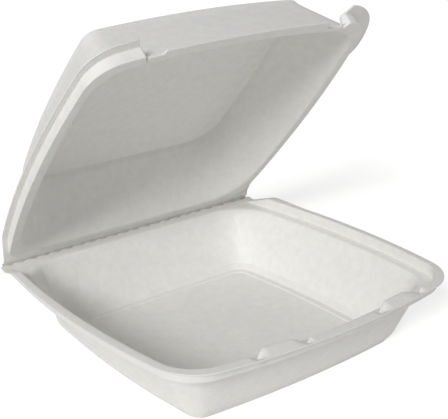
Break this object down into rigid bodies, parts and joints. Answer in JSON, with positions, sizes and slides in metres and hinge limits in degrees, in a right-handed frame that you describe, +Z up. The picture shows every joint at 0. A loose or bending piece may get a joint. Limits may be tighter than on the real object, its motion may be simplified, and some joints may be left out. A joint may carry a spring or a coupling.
{
  "type": "foam hinged container",
  "caption": "Square takeaway container pressed from white foam, with a deep tray and a hinged lid that folds at a wavy crease, latch tabs on the tray and a thumb ear on the lid.",
  "frame": {"origin": "middle of the tray's flat underside", "axes": "+Z up, -Y towards the front with the latch tabs, +X to the right seen from the front, where the lid's thumb ear is"},
  "size_m": [0.2415, 0.241, 0.2186],
  "materials": {
    "foam": "fine-celled foamed polystyrene with a soft satin skin"
  },
  "bodies": {
    "tray": {"tray": "foam"},
    "lid": {"lid": "foam"}
  },
  "joints": [
    {"name": "lid_crease", "type": "hinge", "parent": "tray", "child": "lid", "pos_m": [0, 0.1126, 0.04285], "axis": [-1, 0, 0], "range_deg": [-49.15, 130.85]}
  ]
}
